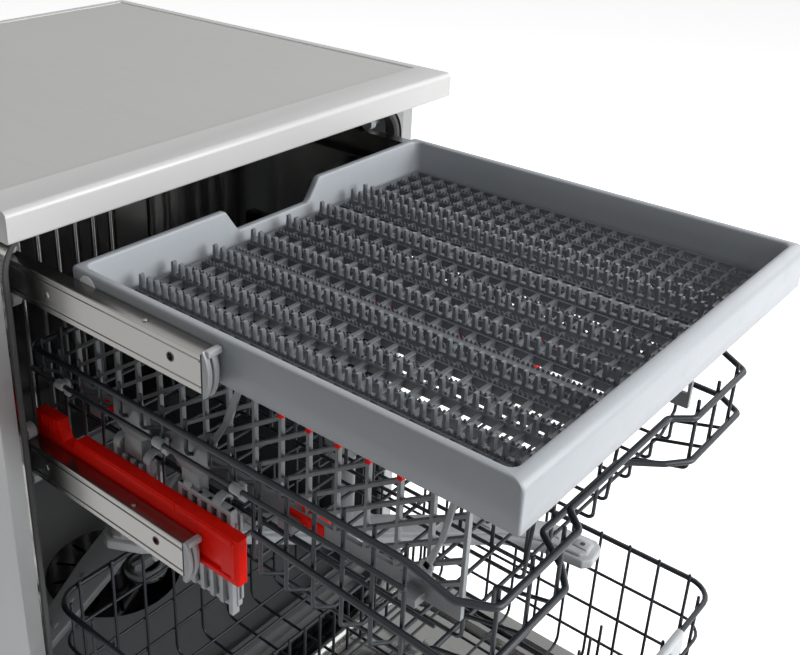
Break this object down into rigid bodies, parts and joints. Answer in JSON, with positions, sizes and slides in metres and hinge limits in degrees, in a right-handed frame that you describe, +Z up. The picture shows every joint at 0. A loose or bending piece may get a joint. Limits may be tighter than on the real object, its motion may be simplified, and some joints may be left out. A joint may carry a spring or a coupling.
{
  "type": "freestanding dishwasher",
  "caption": "Freestanding dishwasher with a lowered door, a sliding cutlery tray and two wire racks on extending rails, shown drawn out.",
  "frame": {"origin": "on the floor, under the centre of the worktop", "axes": "+X to the right seen from the front, +Y to the rear, so that -Y is the front, +Z up"},
  "size_m": [0.598, 1.254, 0.85],
  "materials": {
    "worktop_white": "satin",
    "worktop_grey": "matte laminate",
    "panel_silver": "satin",
    "galvanised": "matte",
    "tub_steel": "satin",
    "rail_steel": "satin",
    "grey_plastic": "matte",
    "dark_plastic": "matte",
    "light_plastic": "matte",
    "white_plastic": "matte",
    "tray_plastic": "satin",
    "lattice_plastic": "satin",
    "red_plastic": "satin",
    "coated_wire": "satin",
    "seal_rubber": "matte",
    "weight_block": "matte",
    "fitting_metal": "satin",
    "silver_plastic": "satin",
    "grid_plastic": "satin"
  },
  "bodies": {
    "cabinet": {"worktop_trim": "worktop_white", "worktop_board": "worktop_grey", "side_panel_right": "panel_silver", "side_panel_left": "panel_silver", "back_panel": "galvanised", "tub_wrapper": "tub_steel", "tub_back": "tub_steel", "tub_basin": "grey_plastic", "sump": "dark_plastic", "strainer_plate": "tub_steel", "softener_tank": "white_plastic", "base_tray": "dark_plastic", "plinth": "dark_plastic", "levelling_feet": "dark_plastic", "counterweight": "weight_block", "pumps": "grey_plastic", "inlet_valve": "white_plastic", "drain_outlet": "grey_plastic", "feed_duct": "grey_plastic", "tub_seal": "seal_rubber", "guide_rollers": "light_plastic", "hinge_brackets": "galvanised"},
    "filter": {"filter_cup": "grey_plastic"},
    "softener_cap": {"salt_cap": "light_plastic"},
    "lower_arm": {"lower_spray_arm": "grey_plastic"},
    "top_arm": {"top_spray_arm": "grey_plastic"},
    "upper_rails": {"tray_rails": "rail_steel", "tray_rail_caps": "light_plastic"},
    "lower_rails": {"rack_rails": "rail_steel", "rack_rail_caps": "light_plastic"},
    "tray": {"cutlery_tray": "tray_plastic", "tray_grid": "grid_plastic"},
    "tray_wheels": {"tray_rollers": "white_plastic"},
    "carriage": {"carriage_bars": "red_plastic"},
    "carriage_wheels": {"rack_rollers": "white_plastic"},
    "rack": {"height_adjusters": "light_plastic", "rack_rim": "coated_wire", "rack_walls": "coated_wire", "rack_floor": "coated_wire", "rack_feed_pipe": "grey_plastic"},
    "middle_arm": {"middle_spray_arm": "lattice_plastic"},
    "shelf_left": {"cup_shelf_left": "lattice_plastic"},
    "shelf_right": {"cup_shelf_right": "lattice_plastic"},
    "tines": {"rack_tines": "coated_wire"},
    "basket": {"basket_floor": "coated_wire", "basket_walls": "coated_wire", "basket_handle": "light_plastic"},
    "front_plate_row": {"plate_tines_front": "coated_wire"},
    "rear_plate_row": {"plate_tines_rear": "coated_wire"},
    "front_wheels": {"wheels_front": "light_plastic"},
    "rear_wheels": {"wheels_rear": "light_plastic"},
    "door": {"door_panel": "panel_silver", "door_liner": "tub_steel", "control_panel": "silver_plastic", "dispenser": "grey_plastic", "hinge_arms": "galvanised"},
    "power_key": {"power_button": "fitting_metal"},
    "start_key": {"start_button": "fitting_metal"},
    "detergent_lid": {"dispenser_lid": "light_plastic"},
    "rinse_lid": {"rinse_aid_cap": "light_plastic"}
  },
  "joints": [
    {"name": "tray_slide", "type": "slide", "parent": "cabinet", "child": "tray", "axis": [0, 1, 0], "range_m": [0, 0.495]},
    {"name": "upper_rail_slide", "type": "slide", "parent": "cabinet", "child": "upper_rails", "axis": [0, 1, 0], "range_m": [0, 0.244]},
    {"name": "tray_roller_spin", "type": "hinge", "parent": "tray", "child": "tray_wheels", "pos_m": [0, -0.309, 0.757], "axis": [-1, 0, 0], "continuous": true},
    {"name": "carriage_slide", "type": "slide", "parent": "cabinet", "child": "carriage", "axis": [0, 1, 0], "range_m": [0, 0.477]},
    {"name": "lower_rail_slide", "type": "slide", "parent": "cabinet", "child": "lower_rails", "axis": [0, 1, 0], "range_m": [0, 0.213]},
    {"name": "carriage_roller_spin", "type": "hinge", "parent": "carriage", "child": "carriage_wheels", "pos_m": [0, -0.24, 0.564], "axis": [-1, 0, 0], "continuous": true},
    {"name": "rack_lift", "type": "slide", "parent": "carriage", "child": "rack", "axis": [0, 0, 1], "range_m": [0, 0.02]},
    {"name": "middle_arm_spin", "type": "hinge", "parent": "rack", "child": "middle_arm", "pos_m": [-0.012, -0.412, 0.44], "axis": [0, 0, 1], "continuous": true},
    {"name": "shelf_left_fold", "type": "hinge", "parent": "rack", "child": "shelf_left", "pos_m": [-0.196, -0.451, 0.606], "axis": [0, 1, 0], "range_deg": [0, 90]},
    {"name": "shelf_right_fold", "type": "hinge", "parent": "rack", "child": "shelf_right", "pos_m": [0.196, -0.451, 0.606], "axis": [0, -1, 0], "range_deg": [0, 90]},
    {"name": "rack_tine_fold", "type": "hinge", "parent": "rack", "child": "tines", "pos_m": [-0.0622, -0.457, 0.5623], "axis": [0, 1, 0], "range_deg": [0, 84]},
    {"name": "basket_slide", "type": "slide", "parent": "cabinet", "child": "basket", "axis": [0, 1, 0], "range_m": [0, 0.474]},
    {"name": "front_wheel_spin", "type": "hinge", "parent": "basket", "child": "front_wheels", "pos_m": [0, -0.675, 0.1672], "axis": [-1, 0, 0], "continuous": true},
    {"name": "rear_wheel_spin", "type": "hinge", "parent": "basket", "child": "rear_wheels", "pos_m": [0, -0.236, 0.1672], "axis": [-1, 0, 0], "continuous": true},
    {"name": "front_plate_row_fold", "type": "hinge", "parent": "basket", "child": "front_plate_row", "pos_m": [0, -0.6218, 0.1943], "axis": [-1, 0, 0], "range_deg": [0, 84]},
    {"name": "rear_plate_row_fold", "type": "hinge", "parent": "basket", "child": "rear_plate_row", "pos_m": [0, -0.3738, 0.1943], "axis": [-1, 0, 0], "range_deg": [0, 84]},
    {"name": "door_hinge", "type": "hinge", "parent": "cabinet", "child": "door", "pos_m": [0, -0.262, 0.126], "axis": [-1, 0, 0], "range_deg": [-2, 0], "stiffness_Nm_per_rad": 1500, "springref_deg": 3.44},
    {"name": "power_press", "type": "slide", "parent": "door", "child": "power_key", "axis": [0, 0, 1], "range_m": [0, 0.0012], "stiffness_N_per_m": 400},
    {"name": "start_press", "type": "slide", "parent": "door", "child": "start_key", "axis": [0, 0, 1], "range_m": [0, 0.0012], "stiffness_N_per_m": 400},
    {"name": "detergent_lid_slide", "type": "slide", "parent": "door", "child": "detergent_lid", "axis": [0, 1, 0], "range_m": [0, 0.06]},
    {"name": "rinse_lid_open", "type": "hinge", "parent": "door", "child": "rinse_lid", "pos_m": [-0.002, -0.556, 0.1323], "axis": [-1, 0, 0], "range_deg": [0, 90]},
    {"name": "lower_arm_spin", "type": "hinge", "parent": "cabinet", "child": "lower_arm", "pos_m": [0, 0.018, 0.16], "axis": [0, 0, 1], "continuous": true},
    {"name": "top_arm_spin", "type": "hinge", "parent": "cabinet", "child": "top_arm", "pos_m": [0, 0.018, 0.795], "axis": [0, 0, 1], "continuous": true},
    {"name": "filter_twist", "type": "hinge", "parent": "cabinet", "child": "filter", "pos_m": [0.033, -0.012, 0.118], "axis": [0, 0, 1], "range_deg": [0, 90]},
    {"name": "softener_cap_turn", "type": "hinge", "parent": "cabinet", "child": "softener_cap", "pos_m": [-0.178, -0.092, 0.125], "axis": [0, 0, 1], "range_deg": [0, 90]}
  ],
  "couplings": [
    {"joint": "upper_rail_slide", "follows": "tray_slide", "ratio": 0.49293},
    {"joint": "lower_rail_slide", "follows": "carriage_slide", "ratio": 0.44654},
    {"joint": "tray_roller_spin", "follows": "tray_slide", "rad_per_m": 32.714},
    {"joint": "carriage_roller_spin", "follows": "carriage_slide", "rad_per_m": 35.707},
    {"joint": "front_wheel_spin", "follows": "basket_slide", "rad_per_m": 58.824},
    {"joint": "rear_wheel_spin", "follows": "basket_slide", "rad_per_m": 58.824}
  ]
}
